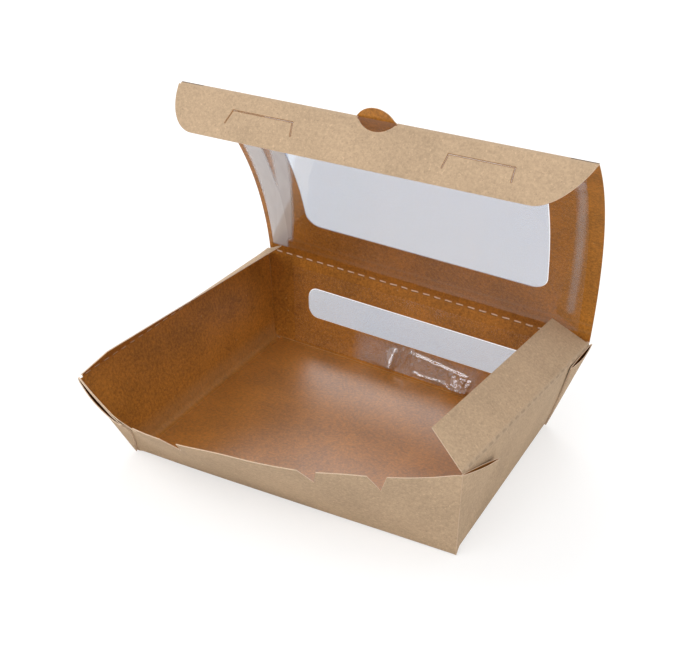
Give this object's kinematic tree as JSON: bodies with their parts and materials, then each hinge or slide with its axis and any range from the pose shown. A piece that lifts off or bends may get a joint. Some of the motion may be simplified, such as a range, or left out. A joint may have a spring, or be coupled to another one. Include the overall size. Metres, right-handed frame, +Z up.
{
  "type": "takeaway box",
  "caption": "Kraft card takeaway box with an open bowed lid, clear film windows in the lid and back wall, glued corner webs, dust flaps and a rounded front flap.",
  "frame": {"origin": "middle of the base, on the table", "axes": "+X along the front edge to the right, +Y from the front towards the lid's hinge, +Z up"},
  "size_m": [0.2238, 0.1943, 0.1936],
  "materials": {
    "kraft_board": "kraft board, matte outside and coated glossy brown inside",
    "clear_film": "thin clear glossy film, slightly wrinkled"
  },
  "bodies": {
    "tray": {"tray": "kraft_board", "rear_window_film": "clear_film"},
    "lid": {"lid_panel": "kraft_board", "lid_window_film": "clear_film"},
    "front_flap": {"lid_front_flap": "kraft_board"},
    "left_flap": {"left_dust_flap": "kraft_board"},
    "right_flap": {"right_dust_flap": "kraft_board"}
  },
  "joints": [
    {"name": "lid_hinge", "type": "hinge", "parent": "tray", "child": "lid", "pos_m": [0, 0.0825, 0.0529], "axis": [-1, 0, 0], "range_deg": [-42, 60]},
    {"name": "front_flap_fold", "type": "hinge", "parent": "lid", "child": "front_flap", "pos_m": [0.0047, -0.00826, 0.18797], "axis": [0.999, 0.0371, 0.0249], "range_deg": [-75, 12]},
    {"name": "left_flap_fold", "type": "hinge", "parent": "tray", "child": "left_flap", "pos_m": [-0.10725, -0.00655, 0.0516], "axis": [-0.0286, -0.9995, -0.0146], "range_deg": [-46, 64]},
    {"name": "right_flap_fold", "type": "hinge", "parent": "tray", "child": "right_flap", "pos_m": [0.0982, 0.0042, 0.0549], "axis": [0.0827, 0.9962, -0.0254], "range_deg": [-26, 36]}
  ],
  "couplings": [
    {"joint": "left_flap_fold", "follows": "lid_hinge", "ratio": 1},
    {"joint": "right_flap_fold", "follows": "lid_hinge", "ratio": 0.55}
  ]
}
